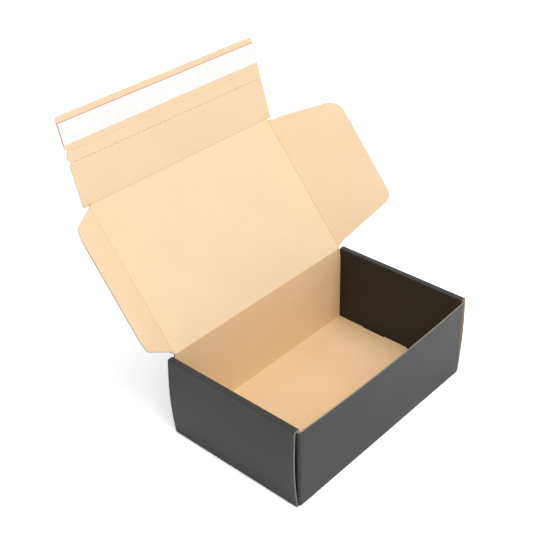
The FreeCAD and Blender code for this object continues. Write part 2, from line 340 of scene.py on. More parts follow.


# %% [markdown]
# ## Kraft paper
# Kraft is brown paper with fine fibres that run one way, soft clouds and a few dark specks. Three noises give
# them: one large, one squeezed in one direction, and one that a ramp cuts down to dots. The bump is far
# smaller than the paper's thickness. The tray, the lid with its flap, and the ears each get their own tone,
# and these tones are painted light and shade: the ears are lighter, as if more lit, and the tray is deeper
# and more saturated, as kraft looks in shade.


# %% Kraft liner
def kraft_material(name, light, dark, speck, crease_at=None):
    """Kraft paper. With crease_at, a darker line of painted shade runs at that distance on both sides of the
    middle.
    """
    material, tree, surface = new_material(name)
    flat = sheet_coordinates(tree)
    clouds = noise(tree, flat, 14.0, 4.0)
    fibres = noise(tree, sheet_coordinates(tree, (1, 0.16, 1)), 1500.0, 4.0, 0.7)
    specks = noise(tree, flat, 620.0, 2.0)
    color = ramp(tree, mix_values(tree, clouds, 0.55, fibres), (0.3, dark), (0.7, light))
    spotted = ramp(tree, specks, (0.29, speck), (0.34, grey(1)))
    color = mix_colors(tree, "MULTIPLY", 0.35, color, spotted)
    if crease_at is not None:
        # Painted shade: the colour darkens in a narrow line along each crease.
        across = add_node(tree, "ShaderNodeSeparateXYZ", {0: flat}).outputs["X"]
        from_line = calculate(tree, "SUBTRACT", calculate(tree, "ABSOLUTE", across), crease_at)
        away = calculate(tree, "DIVIDE", calculate(tree, "ABSOLUTE", from_line), 2 * mm)
        crease_shade = ramp(tree, away, (0.08, (0.8, 0.74, 0.68)), (0.32, grey(1)))
        color = mix_colors(tree, "MULTIPLY", 1.0, color, crease_shade)
    tree.links.new(color, surface.inputs["Base Color"])
    tree.links.new(ramp(tree, fibres, (0.2, grey(0.72)), (0.8, grey(0.9))), surface.inputs["Roughness"])
    surface.inputs["Specular IOR Level"].default_value = 0.25
    ribs = bump(tree, flute_shadow(tree, flat), 0.12, 0.04 * mm)
    tree.links.new(bump(tree, fibres, 0.25, 0.05 * mm, ribs), surface.inputs["Normal"])
    return material


lid_tones = (0.835, 0.64, 0.42), (0.77, 0.585, 0.38), (0.6, 0.44, 0.3)
# The ears' tones are lighter than the lid's: painted light.
lit_ear_tones = (0.895, 0.68, 0.45), (0.825, 0.62, 0.405), (0.6, 0.44, 0.3)
# The tray's tone is deeper and more saturated than the lid's: painted shade.
kraft = kraft_material("kraft_tray_painted_shade", (0.885, 0.64, 0.38), (0.815, 0.58, 0.335), (0.6, 0.42, 0.28))
# The lid and the ears darken along the ears' creases: painted shade.
kraft_lid = kraft_material("kraft_lid", *lid_tones, crease_at=ear_crease)
lit_kraft_ear = kraft_material("lit_kraft_ear", *lit_ear_tones, crease_at=0.0)
kraft_flap = kraft_material("kraft_flap", *lid_tones)
# A darker kraft of painted shade, for the crease strips and the walls of the slits.
shaded_kraft = kraft_material("kraft_crease_painted_shade", (0.79, 0.59, 0.38), (0.70, 0.52, 0.33), (0.5, 0.36, 0.24))
# The tray's cut edges are grey and are darkened further with painted shade, and those of the lid, its ears
# and its flap look pale.
shaded_core_paper = kraft_material("shaded_core_paper", (0.475, 0.43, 0.375), (0.335, 0.298, 0.252), (0.3, 0.25, 0.2))
fresh_core = kraft_material("fresh_core", (0.9, 0.79, 0.64), (0.78, 0.67, 0.53), (0.6, 0.5, 0.38))
kraft_papers = (kraft, kraft_lid, lit_kraft_ear, kraft_flap, shaded_kraft, shaded_core_paper, fresh_core)
print("kraft papers:", [paper.name for paper in kraft_papers])

# %% [markdown]
# ## Black print
# The outside is black ink over the same paper. The ink fills the fibres, so the surface is smoother and
# shines a little at low angles, and it is never quite black. A second, lighter mix of the same material goes
# on the rail's upward faces, as a painted highlight for the light that the top of the rail catches.


# %% Black printed liner
def printed_material(name, low, high):
    """Matt ink between two dark tones."""
    material, tree, surface = new_material(name)
    flat = sheet_coordinates(tree)
    clouds = noise(tree, flat, 18.0, 4.0)
    grain = noise(tree, sheet_coordinates(tree, (1, 0.3, 1)), 1100.0, 3.0, 0.65)
    tone = mix_values(tree, clouds, 0.5, grain)
    tree.links.new(ramp(tree, tone, (0.3, low), (0.72, high)), surface.inputs["Base Color"])
    tree.links.new(ramp(tree, tone, (0.3, grey(0.44)), (0.7, grey(0.56))), surface.inputs["Roughness"])
    surface.inputs["Specular IOR Level"].default_value = 0.3
    ribs = bump(tree, flute_shadow(tree, flat), 0.1, 0.03 * mm)
    tree.links.new(bump(tree, grain, 0.2, 0.04 * mm, ribs), surface.inputs["Normal"])
    return material


black = printed_material("black_print", (0.0088, 0.0094, 0.01), (0.0156, 0.0165, 0.0174))
# Painted light: a lighter ink for the rail's top, standing in for the light it catches.
lit_rail_black = printed_material("rail_print_painted_light", (0.0255, 0.0262, 0.0268), (0.0395, 0.0402, 0.041))
print("prints:", [ink.name for ink in (black, lit_rail_black)])

# %% [markdown]
# ## From a section to a folded sheet
# A folded board could be bent with an armature or a Simple Deform modifier, but then its lengths are hard
# to keep. It is easier to describe its outside line as seen from the end. The next functions round the
# corners of such a line, and give each point its outward direction and the distance walked so far.


# %% Rounded section lines
def unit(vector):
    return vector / np.linalg.norm(vector)


def spread(points, normals, step):
    """More points on the long stretches, about one step apart."""
    more_points, more_normals = [points[0]], [normals[0]]
    for start, end, first, last in zip(points[:-1], points[1:], normals[:-1], normals[1:]):
        parts = max(1, round(np.linalg.norm(end - start) / step))
        for part in range(1, parts + 1):
            share = part / parts
            more_points.append(start * (1 - share) + end * share)
            more_normals.append(unit(first * (1 - share) + last * share))
    return np.array(more_points), np.array(more_normals)


def section_line(corners, arc_steps=6, step=None):
    """Points, outward directions and walked distance of a line with (a, b, radius) corners.
    The outside is on the right of the walk. With a step, long stretches get points that far apart."""
    corners = [(np.array(c[:2], float), c[2] if len(c) > 2 else 0.0) for c in corners]
    points, normals = [], []

    def right_of(way):
        return np.array((way[1], -way[0]))

    for index, (corner, radius) in enumerate(corners):
        ways = []
        if index > 0:
            ways.append(unit(corner - corners[index - 1][0]))
        if index < len(corners) - 1:
            ways.append(unit(corners[index + 1][0] - corner))
        if radius == 0 or len(ways) == 1:
            points.append(corner)
            normals.append(unit(sum(right_of(way) for way in ways)))
            continue
        turn = math.atan2(ways[0][0] * ways[1][1] - ways[0][1] * ways[1][0], ways[0] @ ways[1])
        reach = radius * math.tan(abs(turn) / 2)
        centre = corner - ways[0] * reach - right_of(ways[0]) * radius * np.sign(turn)
        for part in range(arc_steps + 1):
            angle = turn * part / arc_steps
            spin = np.array(((math.cos(angle), -math.sin(angle)), (math.sin(angle), math.cos(angle))))
            normal = spin @ right_of(ways[0])
            points.append(centre + normal * radius * np.sign(turn))
            normals.append(normal)
    points, normals = np.array(points), np.array(normals)
    if step:
        points, normals = spread(points, normals, step)
    run = np.concatenate(([0], np.cumsum(np.linalg.norm(np.diff(points, axis=0), axis=1))))
    return points, normals, run


# %% [markdown]
# A path goes into the tree as a small mesh whose points carry the three values as attributes. The tree
# runs as a modifier on it, and the result is taken out as a plain mesh, because an exported model has no
# modifiers.


# %% Turning a path into board
def tree_inputs(modifier, **values):
    """Set modifier inputs by their names in the tree, before anything is evaluated."""
    sockets = {s.name: s.identifier for s in modifier.node_group.interface.items_tree if s.in_out == "INPUT"}
    for name, value in values.items():
        modifier[sockets[name.replace("_", " ")]] = value


def link(obj):
    bpy.context.scene.collection.objects.link(obj)
    return obj


def new_piece(name, mesh):
    """An object in the scene, with a mesh of the same name."""
    mesh.name = name
    return link(bpy.data.objects.new(name, mesh))


def evaluated(obj):
    """The plain mesh that an object's modifiers make."""
    bpy.context.view_layer.update()
    graph = bpy.context.evaluated_depsgraph_get()
    final = obj.evaluated_get(graph)
    return bpy.data.meshes.new_from_object(final, preserve_all_data_layers=True, depsgraph=graph)


def closed_volume(mesh):
    """Signed volume, which is negative if the faces look inwards."""
    mesh.calc_loop_triangles()
    co = np.empty(len(mesh.vertices) * 3)
    mesh.vertices.foreach_get("co", co)
    co = co.reshape(-1, 3)
    tri = np.empty(len(mesh.loop_triangles) * 3, int)
    mesh.loop_triangles.foreach_get("vertices", tri)
    a, b, c = (co[tri.reshape(-1, 3)[:, k]] for k in range(3))
    return float(np.einsum("ij,ij->i", a, np.cross(b, c)).sum() / 6)


def face_outwards(mesh):
    """Turn a closed mesh right side out."""
    if closed_volume(mesh) < 0:
        mesh.flip_normals()


def board_mesh(name, points, outward, sweep, run, matrix=None, inside=kraft, core=shaded_core_paper, **inputs):
    """Board over a path. All vectors are given per point, and the matrix sets the result in place."""
    path = bpy.data.meshes.new(name + "_path")
    path.from_pydata([tuple(p) for p in points], [(i, i + 1) for i in range(len(points) - 1)], [])
    for label, values in (("outward", outward), ("sweep", sweep)):
        layer = path.attributes.new(label, "FLOAT_VECTOR", "POINT")
        layer.data.foreach_set("vector", np.asarray(values, float).ravel())
    path.attributes.new("run", "FLOAT", "POINT").data.foreach_set("value", np.asarray(run, float))
    maker = link(bpy.data.objects.new(name + "_maker", path))
    modifier = maker.modifiers.new("board", "NODES")
    modifier.node_group = board_tree
    tree_inputs(modifier, Outside=black, Inside=inside, Core=core, **inputs)
    mesh = evaluated(maker)
    bpy.data.objects.remove(maker)
    bpy.data.meshes.remove(path)
    mesh.attributes.remove(mesh.attributes["way_out"])
    if matrix is not None:
        mesh.transform(matrix)
    face_outwards(mesh)
    mesh.name = name
    return mesh


def joined(name, meshes):
    """One object from several meshes, which are used up."""
    parts = [link(bpy.data.objects.new(f"{name}_{i}", mesh)) for i, mesh in enumerate(meshes)]
    first = parts[0]
    with bpy.context.temp_override(
        active_object=first, selected_editable_objects=parts, selected_objects=parts
    ):
        bpy.ops.object.join()
    first.name = name
    first.data.name = name
    return first


# %% [markdown]
# ## The tray's channel
# The front wall, base and back wall are one channel along the box, so one line in Y and Z gives all
# three. It is swept along X, by less at the top of the back wall, where it narrows to the lid's crease.
# The front wall of a real box is held only at its ends, so its middle bows out and dips. The fluting is
# made for the front wall's upper part alone, because nobody can look into the rest.

# %% The channel
wall_end = 148 * mm
upright_radius = 3.5 * mm
wall_reach = wall_end - upright_radius
front_top = 101 * mm
back_top = 105.15 * mm
under_rail = 103 * mm
core_bottom = 60 * mm
coarse_step = 12 * mm
# Where waves run along a whole panel, each wave gets about twelve columns.
wall_columns = 1070


def swept_along_x(line, half_spans):
    """Section in Y and Z, swept along X by its own half span at each point."""
    points, normals, run = line
    spans = np.asarray(half_spans, float)
    flat = np.zeros(len(points))
    places = np.column_stack((-spans, points))
    outward = np.column_stack((flat, normals))
    return places, outward, np.column_stack((2 * spans, flat, flat)), run


channel_line = section_line(
    [
        (-half_width, front_top), (-half_width, 0, fold_radius),
        (half_width, 0, fold_radius), (half_width, back_top),
    ],
    step=coarse_step,
)
line_y, line_z = channel_line[0].T
channel_spans = np.where((line_z > under_rail) & (line_y > 0), ear_crease, wall_reach)
channel = board_mesh(
    "channel", *swept_along_x(channel_line, channel_spans),
    Waves_cross_the_path=False, Liner_columns=40, Show_fluting=False,
)
wall_line = section_line([(-half_width, front_top), (-half_width, core_bottom)], step=coarse_step)
wall_core = board_mesh(
    "wall_core", *swept_along_x(wall_line, [wall_reach] * len(wall_line[0])),
    Waves_cross_the_path=False, Fluting_columns=wall_columns, Show_liners=False,
)
print("channel faces:", len(channel.polygons), "and those of its fluting:", len(wall_core.polygons))

# %% The bow of the front wall
front_foot = 3.2 * mm
front_bow = 1.8 * mm
front_dip = 2.2 * mm


def bow_front_wall(mesh):
    """Move the front wall's middle out, more towards its top, and let its upper edge dip."""
    for vertex in mesh.vertices:
        x, y, z = vertex.co
        if y < -half_width + 2 * board and z > front_foot:
            middle = max(0.0, 1 - (x / wall_reach) ** 2)
            rise = (z - front_foot) / (front_top - front_foot)
            vertex.co.y -= front_bow * middle * rise
            vertex.co.z -= front_dip * middle * rise


bow_front_wall(channel)
bow_front_wall(wall_core)
print("the front wall bows out by", round(front_bow / mm, 1), "mm")

# %% [markdown]
# ## The rolled ends
# Each end is one sheet that goes up, over the top rail and down again inside, so its line is drawn in X
# and Z. The outer ply leans out and bulges, because the rail pushes it. That bulge is one corner with a
# very large radius. Both cut edges show their waves, so the fluting is made in full.

# %% The rolled end at the right
inner_face = 144.4 * mm
rail_lean = 2.4 * mm
bulge_corner = 5.48 * mm
bulge_radius = 382 * mm
panel_foot = board + 0.25 * mm
ply_gap = 0.4 * mm
flute_step = flute_pitch / points_per_wave
end_front, end_back = half_width - board - ply_gap, half_width - ply_gap


def swept(line, plane, start, length):
    """Section in two axes, swept along the third one. plane names the section's two axes."""
    points, normals, run = line
    axes = ["xyz".index(letter) for letter in plane]
    third = 3 - sum(axes)
    places, outward, sweeps = np.zeros((3, len(points), 3))
    places[:, axes], outward[:, axes] = points, normals
    places[:, third], sweeps[:, third] = start, length
    return places, outward, sweeps, run


end_line = section_line(
    [
        (wall_reach, 0), (half_length, 0, fold_radius),
        (half_length + bulge_corner, height / 2, bulge_radius),
        (half_length + rail_lean, height, fold_radius),
        (inner_face, height, fold_radius), (inner_face, panel_foot),
    ],
    arc_steps=9,
    step=flute_step,
)
right_end = board_mesh(
    "right_end", *swept(end_line, "xz", -end_front, end_front + end_back), Liner_columns=6, Fluting_columns=2
)
print("rolled end faces:", len(right_end.polygons))

# %% [markdown]
# ## The dust flaps
# Between the plies of each end stand two dust flaps, folded off the front and back walls. Only their
# corners and top edges show, but those close the gap that one would otherwise look into. The line in X
# and Y goes round the upright corner, and the sweep gets shorter along it, so that the flap's top falls
# towards its free end.

# %% The dust flaps at the right
dust_reach = 70 * mm
dust_fall = 6 * mm
MIRROR_X = Matrix.Scale(-1, 4, (1, 0, 0))
MIRROR_Y = Matrix.Scale(-1, 4, (0, 1, 0))


def mirrored(mesh, mirror=MIRROR_X):
    """A mirrored copy, with its faces turned outwards again."""
    other = mesh.copy()
    other.transform(mirror)
    other.flip_normals()
    return other


def dust_flap(top):
    """The upright corner at +X and -Y, and the flap that goes on from it behind the end panel."""
    far = -half_width + dust_reach
    line = section_line(
        [(wall_reach, -half_width), (wall_end, -half_width, upright_radius), (wall_end, far)], step=flute_step
    )
    bottom = board + ply_gap
    places, outward, sweeps, run = swept(line, "xy", bottom, top - bottom)
    flap_start = -half_width + upright_radius
    sweeps[:, 2] -= np.clip((places[:, 1] - flap_start) / (far - flap_start), 0, 1) * dust_fall
    return board_mesh("dust_flap", places, outward, sweeps, run, Liner_columns=2, Fluting_columns=2)


front_dust = dust_flap(front_top)
back_dust = mirrored(dust_flap(under_rail), MIRROR_Y)
print("dust flap faces:", len(front_dust.polygons), len(back_dust.polygons))

# %% [markdown]
# ## Lock tabs
# The inner end panels are locked by tabs at their feet, which go down through slots in the base. The
# slots could be left out, since little is seen of them, but then the tabs would melt into the base. So
# the base is cut with plain blocks through a Boolean modifier, and a short block of board fills each
# slot.

# %% Blocks for the tabs and the slots
tab_centre = 34.3 * mm
tab_half = 16.75 * mm
tab_foot = 0.2 * mm
tab_top = board + 0.3 * mm
slot_play = 0.35 * mm
slot_front = 1.0 * mm
slot_top = board + 0.1 * mm


def block_mesh(name, low, high, inward=None):
    """A closed block. The face that looks along the inward direction gets the printed side."""
    corners = [(x, y, z) for x in (low[0], high[0]) for y in (low[1], high[1]) for z in (low[2], high[2])]
    faces = [(0, 1, 3, 2), (4, 6, 7, 5), (0, 4, 5, 1), (2, 3, 7, 6), (0, 2, 6, 4), (1, 5, 7, 3)]
    mesh = bpy.data.meshes.new(name)
    mesh.from_pydata(corners, [], faces)
    mesh.materials.append(shaded_core_paper)
    mesh.materials.append(black)
    layer = mesh.uv_layers.new(name="UVMap")
    for face in mesh.polygons:
        if inward is not None and face.normal.dot(Vector(inward)) > 0.9:
            face.material_index = 1
        for corner in face.loop_indices:
            place = mesh.vertices[mesh.loops[corner].vertex_index].co
            layer.data[corner].uv = (place.y, place.z)
    face_outwards(mesh)
    return mesh


tabs, slots = [], []
for side in (-1, 1):
    middle = side * tab_centre
    tab_low = (inner_face, middle - tab_half, tab_foot)
    tab_high = (inner_face + board, middle + tab_half, tab_top)
    tabs.append(block_mesh("tab", tab_low, tab_high, inward=(-1, 0, 0)))
    slot_low = (inner_face - slot_front, middle - tab_half - slot_play, -board)
    slot_high = (inner_face + board + slot_play, middle + tab_half + slot_play, slot_top)
    slots.append(block_mesh("slot", slot_low, slot_high))
print("lock tabs at each end:", len(tabs))


# %% Cutting the slots
def cut(name, mesh, cutters):
    """Subtract closed blocks from a mesh."""
    target = link(bpy.data.objects.new(name, mesh))
    blocks = joined(name + "_cutters", [cutter.copy() for cutter in cutters])
    modifier = target.modifiers.new("slots", "BOOLEAN")
    modifier.operation = "DIFFERENCE"
    modifier.solver = "EXACT"
    modifier.object = blocks
    result = evaluated(target)
    result.set_sharp_from_angle(angle=sharp_angle)
    bpy.data.objects.remove(target)
    bpy.data.objects.remove(blocks)
    return result


channel = cut("channel", channel, slots + [mirrored(slot) for slot in slots])
right_end = cut("right_end", right_end, slots)
print("faces after the slots:", len(channel.polygons), len(right_end.polygons))

# %% [markdown]
# ## Painted light on the rail
# The rail's top gets the lighter ink, a painted highlight for the light it catches from above. One could
# paint a mask, but the rail is easy to tell by its shape: it is the black surface above the walls that looks
# upwards.

# %% Painted light on the rail
upward = 0.3
ink = right_end.materials.find(black.name)
right_end.materials.append(lit_rail_black)
brightened = 0
# The rail's upward faces get the lighter ink: painted light.
for face in right_end.polygons:
    if face.material_index == ink and face.normal.z > upward and face.center.z > under_rail:
        face.material_index = len(right_end.materials) - 1
        brightened += 1
print("scuffed faces:", brightened)

# %% [markdown]
# ## The tray as one piece
# On the real box all of these panels are one folded sheet that doesn't open again, so they become one
# object. The left end is a mirror image of the right one.

# %% Both ends and the channel become the tray
end_pieces = (right_end, front_dust, back_dust, *tabs)
tray = joined("tray_board", [channel, wall_core, *end_pieces, *(mirrored(piece) for piece in end_pieces)])
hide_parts("tray")
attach(tray, "tray")
print("tray faces:", len(tray.data.polygons))

# %% [markdown]
# ## Lid, ears and seal flap
# These panels are flat. Each could be a cut-out face with thickness, but then its edges would be blank.
# Here the path runs along the panel instead, and each point knows where the panel begins and ends in
# front of it, so slanted edges and round corners come from the path too. A matrix then folds the panel
# open.

# %% How the lid stands open
lid_open, ear_fold, flap_bend = 129.5, 44, 23
hinge = Vector((0, 90.7 * mm, 106.1 * mm))
lid_depth = 185.2 * mm
lid_place = Matrix.Translation(hinge) @ Matrix.Rotation(math.radians(180 - lid_open), 4, "X")
lid_edge = lid_place @ Matrix.Translation((0, lid_depth, 0))
flap_place = lid_edge @ Matrix.Rotation(math.radians(flap_bend), 4, "X")
ear_edge = lid_place @ Matrix.Translation((ear_crease, 0, board / 2))
ear_place = ear_edge @ Matrix.Rotation(math.radians(-ear_fold), 4, "Y")
print("the lid is open by", lid_open, "degrees")
print("its front edge is at", [round(v, 3) for v in lid_edge.to_translation()])


# %% Flat panels
def outline_edges(corners, xs):
    """Lowest and highest y of a closed outline at each x. Corners are (x, y, radius)."""
    closed = corners[-1:] + corners + corners[:1]
    points = section_line(closed, arc_steps=12)[0][1:-1]
    ring = np.vstack((points, points[:1]))
    low, high = np.full(len(xs), np.inf), np.full(len(xs), -np.inf)
    for (x0, y0), (x1, y1) in zip(ring[:-1], ring[1:]):
        if abs(x1 - x0) < 1e-9:
            inside = np.abs(xs - x0) < 1e-6
            values = (y0, y1)
        else:
            share = (xs - x0) / (x1 - x0)
            inside = (share >= -1e-6) & (share <= 1 + 1e-6)
            values = (y0 + share * (y1 - y0),)
        for y in values:
            low = np.where(inside, np.minimum(low, y), low)
            high = np.where(inside, np.maximum(high, y), high)
    return low, high


def flat_panel(name, xs, corners, outside_at, place, inside, liner_columns):
    """A panel drawn flat, with its inside up, then set in place."""
    low, high = outline_edges(corners, xs)
    count = len(xs)
    points = np.column_stack((xs, low, np.full(count, outside_at)))
    outward = np.tile((0.0, 0.0, -1.0), (count, 1))
    sweeps = np.column_stack((np.zeros(count), high - low, np.zeros(count)))
    return board_mesh(
        name, points, outward, sweeps, xs, place, inside, fresh_core,
        Liner_columns=liner_columns, Fluting_columns=2,
    )


# %% [markdown]
# ## The lid
# The lid is a plain rectangle between four creases. It stops a little short of each crease, where the
# crease strips take over, and its two front corners are slightly round.

# %% The lid
crease_gap = 0.15 * mm
crease_cut = 0.95 * mm
lid_corner = 1.5 * mm
lid_columns = 1036
lid_half = ear_crease - crease_gap
lid_front = lid_depth - crease_cut
lid_corners = [
    (-lid_half, crease_cut, 0), (lid_half, crease_cut, 0),
    (lid_half, lid_front, lid_corner), (-lid_half, lid_front, lid_corner),
]
lid_xs = np.linspace(-lid_half, lid_half, lid_columns)
lid = new_piece("lid_board", flat_panel("lid", lid_xs, lid_corners, -board / 2, lid_place, kraft_lid, 8))
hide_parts("lid")
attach(lid, "lid")
print("lid faces:", len(lid.data.polygons))

# %% [markdown]
# ## The ears
# An ear is tucked in at each side when the lid goes down. Its back edge slants, so that it clears the
# back wall, and its free corners are rounded so that they don't catch. The left ear is the right one's
# mirror image, made by a mirror in its matrix.

# %% The ears
ear_depth = 88.5 * mm
ear_start = 2 * mm
ear_front = 179.8 * mm
ear_end = ear_front + 3.8 * mm
ear_columns = 322
ear_corners = [
    # The back edge slants from the crease to a round corner.
    (crease_gap, ear_start, 0), (10 * mm, 5.8 * mm, 0), (ear_depth, 23.4 * mm, 15 * mm),
    # The front edge slants too, and flares out where it meets the crease.
    (ear_depth, ear_front - 18 * mm, 22 * mm), (14 * mm, ear_front, 0), (8 * mm, ear_front, 0),
    (crease_gap, ear_end, 0),
]
ear_xs = np.linspace(crease_gap, ear_depth, ear_columns)
for side, node in ((1, "right_ear"), (-1, "left_ear")):
    place = ear_place if side > 0 else MIRROR_X @ ear_place
    ear = new_piece(node + "_board", flat_panel(node, ear_xs, ear_corners, -board, place, lit_kraft_ear, 8))
    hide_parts(node)
    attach(ear, node)
    print(node, "faces:", len(ear.data.polygons))

# %% [markdown]
# ## Perforations
# The tear strip lies between two rows of short slits, and the upper row is finer. Slits repeat, so a
# second tree sets one cutter on the points of two rows and subtracts them all from the flap. The cutters
# are instances, and they are realized before the cut, because a Boolean needs real faces. The thumb
# notches are cut with them.

# %% The perforation tree and its inputs
first_row = 50 * mm
row_spacing = 13 * mm
slit_tree = new_tree(
    "Perforated flap",
    [
        ("Geometry", "NodeSocketGeometry", None),
        ("Rows", "NodeSocketInt", 2),
        ("First row", "NodeSocketFloat", first_row),
        ("Row spacing", "NodeSocketFloat", row_spacing),
        ("Slits", "NodeSocketInt", 36),
        ("Pitch", "NodeSocketFloat", 8 * mm),
        ("Slit length", "NodeSocketFloat", 5 * mm),
        ("Slit width", "NodeSocketFloat", 0.45 * mm),
        ("Slit depth", "NodeSocketFloat", 6 * mm),
        ("Upper row share", "NodeSocketFloat", 0.4),
        ("Notches", "NodeSocketObject", None),
        ("Cut", "NodeSocketMaterial", None),
    ],
)


def vector_of(tree, **numbers):
    """A Combine XYZ node from the numbers given for X, Y and Z."""
    return add_node(tree, "ShaderNodeCombineXYZ", numbers).outputs[0]


def on_points(tree, **inputs):
    """Instances on points, realized at once."""
    instances = add_node(tree, "GeometryNodeInstanceOnPoints", inputs).outputs[0]
    return add_node(tree, "GeometryNodeRealizeInstances", {"Geometry": instances}).outputs[0]


def fill_slit_tree(tree):
    """Rows of cutters and the notches, subtracted from the flap."""
    group = add_node(tree, "NodeGroupInput")
    slits, pitch = group.outputs["Slits"], group.outputs["Pitch"]
    length, width, depth = (group.outputs[name] for name in ("Slit length", "Slit width", "Slit depth"))
    cutter = add_node(tree, "GeometryNodeMeshCube", {"Size": vector_of(tree, X=length, Y=width, Z=depth)})
    start_x = calculate(tree, "MULTIPLY", calculate(tree, "SUBTRACT", slits, 1.0), -0.5)
    start = vector_of(tree, X=calculate(tree, "MULTIPLY", start_x, pitch), Y=group.outputs["First row"])
    row_inputs = {"Count": slits, "Start Location": start, "Offset": vector_of(tree, X=pitch)}
    row = add_node(tree, "GeometryNodeMeshLine", row_inputs, mode="OFFSET")
    rise = vector_of(tree, Y=group.outputs["Row spacing"])
    rows = add_node(
        tree, "GeometryNodeMeshLine", {"Count": group.outputs["Rows"], "Offset": rise}, mode="OFFSET"
    )
    points = on_points(tree, Points=rows.outputs[0], Instance=row.outputs[0])

    # The points are numbered row by row, so those of the upper row have the high numbers.
    number = add_node(tree, "GeometryNodeInputIndex").outputs[0]
    is_upper = calculate(tree, "GREATER_THAN", number, calculate(tree, "SUBTRACT", slits, 0.5))
    narrow = choose(tree, "FLOAT", is_upper, group.outputs["Upper row share"], 1.0)
    widths = vector_of(tree, X=1.0, Y=narrow, Z=1.0)
    cutters = on_points(tree, Points=points, Instance=cutter.outputs["Mesh"], Scale=widths)
    cutters = set_material(tree, cutters, group.outputs["Cut"])
    notches = add_node(tree, "GeometryNodeObjectInfo", {"Object": group.outputs["Notches"]})
    flap = {"Mesh 1": group.outputs["Geometry"]}
    perforated = add_node(tree, "GeometryNodeMeshBoolean", flap, operation="DIFFERENCE", solver="EXACT")
    for cutting in (cutters, notches.outputs["Geometry"]):
        tree.links.new(cutting, perforated.inputs["Mesh 2"])
    out = add_node(tree, "NodeGroupOutput")
    tree.links.new(perforated.outputs["Mesh"], out.inputs[0])


fill_slit_tree(slit_tree)
print("the perforation tree has", len(slit_tree.nodes), "nodes")

# %% [markdown]
# ## The seal flap
# The flap goes down over the front wall and holds the box shut. It is wider than the lid, with a shoulder
# at each end that reaches back past the crease.

# %% The flap before its cuts
flap_half = 149.5 * mm
flap_depth = 101.2 * mm
flap_corner = 5 * mm
flap_columns = 1090
shoulder = 1 * mm
flap_corners = [
    (-lid_half, crease_cut, 0), (lid_half, crease_cut, 0), (lid_half + crease_cut, -shoulder, 0),
    (flap_half, -shoulder, shoulder), (flap_half, flap_depth, flap_corner),
    (-flap_half, flap_depth, flap_corner), (-flap_half, -shoulder, shoulder),
    (-lid_half - crease_cut, -shoulder, 0),
]
flap_xs = np.linspace(-flap_half, flap_half, flap_columns)
seal_flap = new_piece(
    "seal_flap_board",
    flat_panel("flap", flap_xs, flap_corners, -board / 2, Matrix.Identity(4), kraft_flap, 2),
)
print("seal flap faces before its cuts:", len(seal_flap.data.polygons))

# %% [markdown]
# At the left edge, a notch above and one below the strip leave a thumb tab to pull. Each notch is a wedge
# that reaches past the edge, so that the cut is clean.

# %% The thumb notches
strip_middle = first_row + row_spacing / 2
notch_half = 3 * mm
notch_depth = 3.5 * mm
notch_nick = 0.9 * mm
past_edge = 2 * mm
past_board = 3 * mm


def notch_cutters():
    """One object with both wedges."""
    points, faces = [], []
    for side in (-1, 1):
        at_row = strip_middle + side * row_spacing / 2
        ring = [
            (-flap_half - past_edge, at_row + side * notch_half), (-flap_half, at_row + side * notch_half),
            (-flap_half + notch_depth, at_row), (-flap_half + notch_nick, at_row - side * notch_half),
            (-flap_half - past_edge, at_row - side * notch_half),
        ]
        if side > 0:
            ring.reverse()
        base, count = len(points), len(ring)
        points += [(x, y, z) for z in (-past_board, past_board) for x, y in ring]
        faces.append(tuple(base + i for i in reversed(range(count))))
        faces.append(tuple(base + count + i for i in range(count)))
        for i in range(count):
            following = (i + 1) % count
            faces.append((base + i, base + following, base + count + following, base + count + i))
    mesh = bpy.data.meshes.new("notches")
    mesh.from_pydata(points, [], faces)
    face_outwards(mesh)
    mesh.materials.append(shaded_core_paper)
    return link(bpy.data.objects.new("notches", mesh))


# %% The perforated flap
notches = notch_cutters()
modifier = seal_flap.modifiers.new("perforations", "NODES")
modifier.node_group = slit_tree
# The slits' walls get the darker kraft of painted shade.
tree_inputs(modifier, Notches=notches, Cut=shaded_kraft)
perforated_flap = evaluated(seal_flap)
perforated_flap.set_sharp_from_angle(angle=sharp_angle)
perforated_flap.transform(flap_place)
seal_flap.modifiers.clear()
seal_flap.data = perforated_flap
bpy.data.objects.remove(notches)
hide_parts("seal_flap")
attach(seal_flap, "seal_flap")
print("seal flap faces:", len(perforated_flap.polygons))

# %% [markdown]
# ## Creases
# Where two panels hinge, the board is crushed and bends. A gap would show there as soon as the lid moves.
# So each crease is a small strip that fills the bend from one panel's edge to the next one's.
# It is shaped at the angle at which the box stands, with a shallow groove on its inside.

# %% A bent strip between two panels
bend_steps = 12
strip_columns = 40


